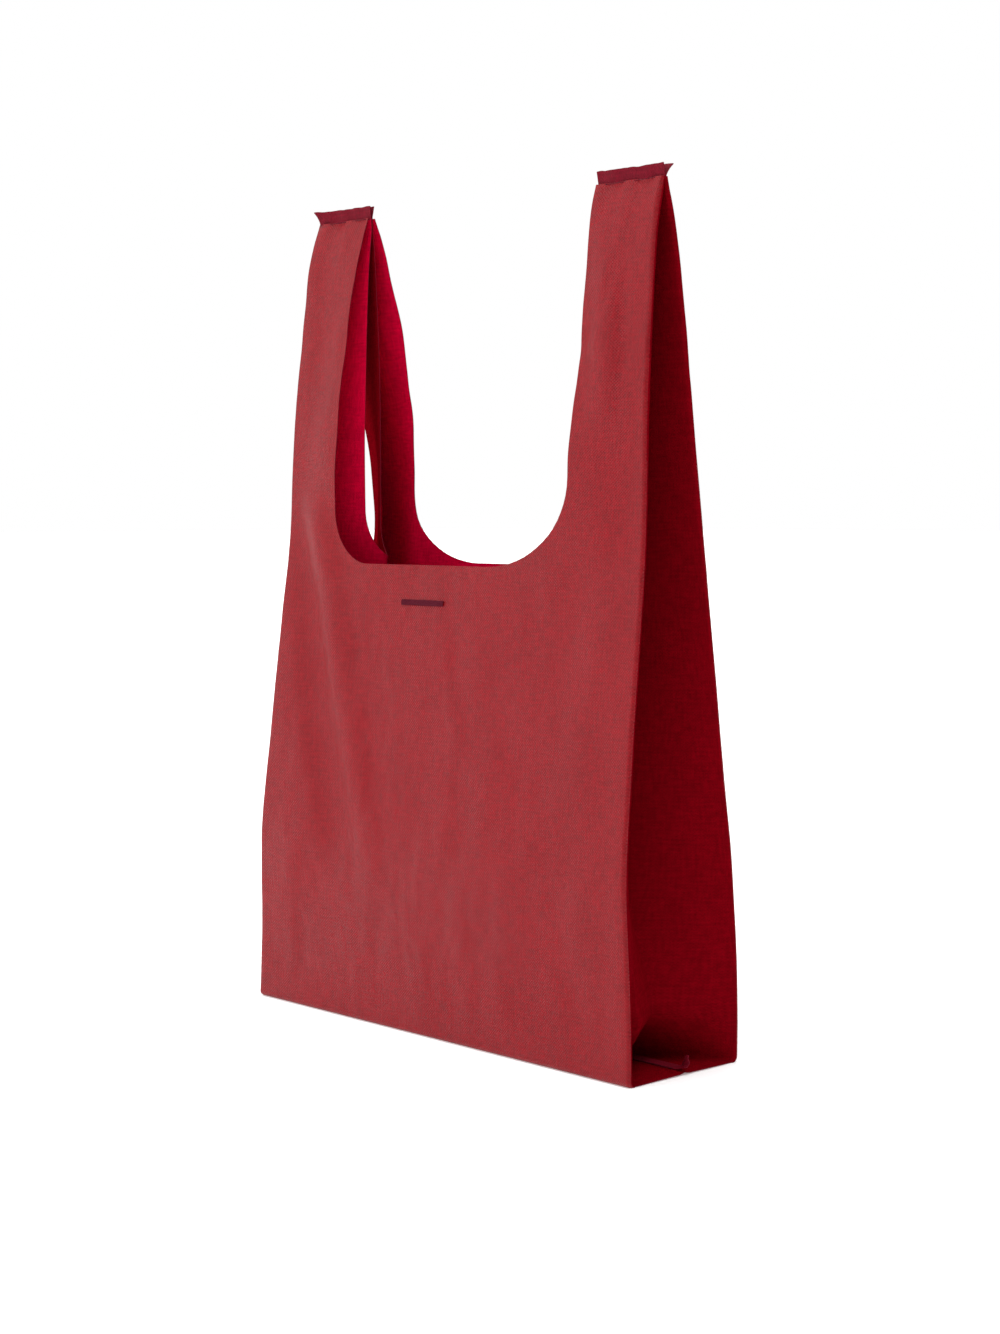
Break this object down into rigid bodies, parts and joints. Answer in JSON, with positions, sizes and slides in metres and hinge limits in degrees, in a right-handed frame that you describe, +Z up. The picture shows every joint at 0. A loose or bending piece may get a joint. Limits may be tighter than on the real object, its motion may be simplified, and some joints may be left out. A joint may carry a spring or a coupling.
{
  "type": "foldable tote bag",
  "caption": "Foldable shopping tote in thin coated weave, cut like a vest bag with inward side gussets and loop handles; stands open on its base.",
  "frame": {"origin": "middle of the base's underside", "axes": "+X across the front panel, -Y out of the front, +Z up towards the handles"},
  "size_m": [0.3854, 0.1078, 0.592],
  "materials": {
    "shell_fabric": "plain weave with a soft satin sheen, brick red",
    "lining_side": "smooth coated inner face, brighter crimson",
    "thread": "matte sewing thread, dark red"
  },
  "bodies": {
    "root": {"back_panel": "shell_fabric", "base_front": "shell_fabric", "base_back": "shell_fabric", "base_seam_allowance": "shell_fabric", "base_seam_thread": "thread", "left_gusset_front": "lining_side", "left_gusset_back": "lining_side", "right_gusset_front": "lining_side", "right_gusset_back": "lining_side", "left_front_strap_root": "shell_fabric", "left_front_strip_root": "lining_side", "left_back_strap_root": "shell_fabric", "left_back_strip_root": "lining_side", "right_front_strap_root": "shell_fabric", "right_front_strip_root": "lining_side", "right_back_strap_root": "shell_fabric", "right_back_strip_root": "lining_side"},
    "front": {"front_panel": "shell_fabric", "stitched_mark": "thread"},
    "left_handle": {"left_front_strap": "shell_fabric", "left_front_strip": "lining_side", "left_back_strap": "shell_fabric", "left_back_strip": "lining_side", "left_top_seam_allowance": "shell_fabric", "left_top_seam_thread": "thread"},
    "right_handle": {"right_front_strap": "shell_fabric", "right_front_strip": "lining_side", "right_back_strap": "shell_fabric", "right_back_strip": "lining_side", "right_top_seam_allowance": "shell_fabric", "right_top_seam_thread": "thread"}
  },
  "joints": [
    {"name": "fold_flat", "type": "hinge", "parent": "root", "child": "front", "pos_m": [0, -0.0256, 0.4], "axis": [1, 0, 0], "range_deg": [0, 13], "deforming": ["base_front", "base_back", "base_seam_allowance", "base_seam_thread", "left_gusset_front", "left_gusset_back", "right_gusset_front", "right_gusset_back"]},
    {"name": "left_handle_fold", "type": "hinge", "parent": "root", "child": "left_handle", "pos_m": [0, 0, 0.4], "axis": [1, 0, 0], "range_deg": [-110, 110], "deforming": ["left_front_strap_root", "left_front_strip_root", "left_back_strap_root", "left_back_strip_root"]},
    {"name": "right_handle_fold", "type": "hinge", "parent": "root", "child": "right_handle", "pos_m": [0, 0, 0.4], "axis": [1, 0, 0], "range_deg": [-110, 110], "deforming": ["right_front_strap_root", "right_front_strip_root", "right_back_strap_root", "right_back_strip_root"]}
  ]
}
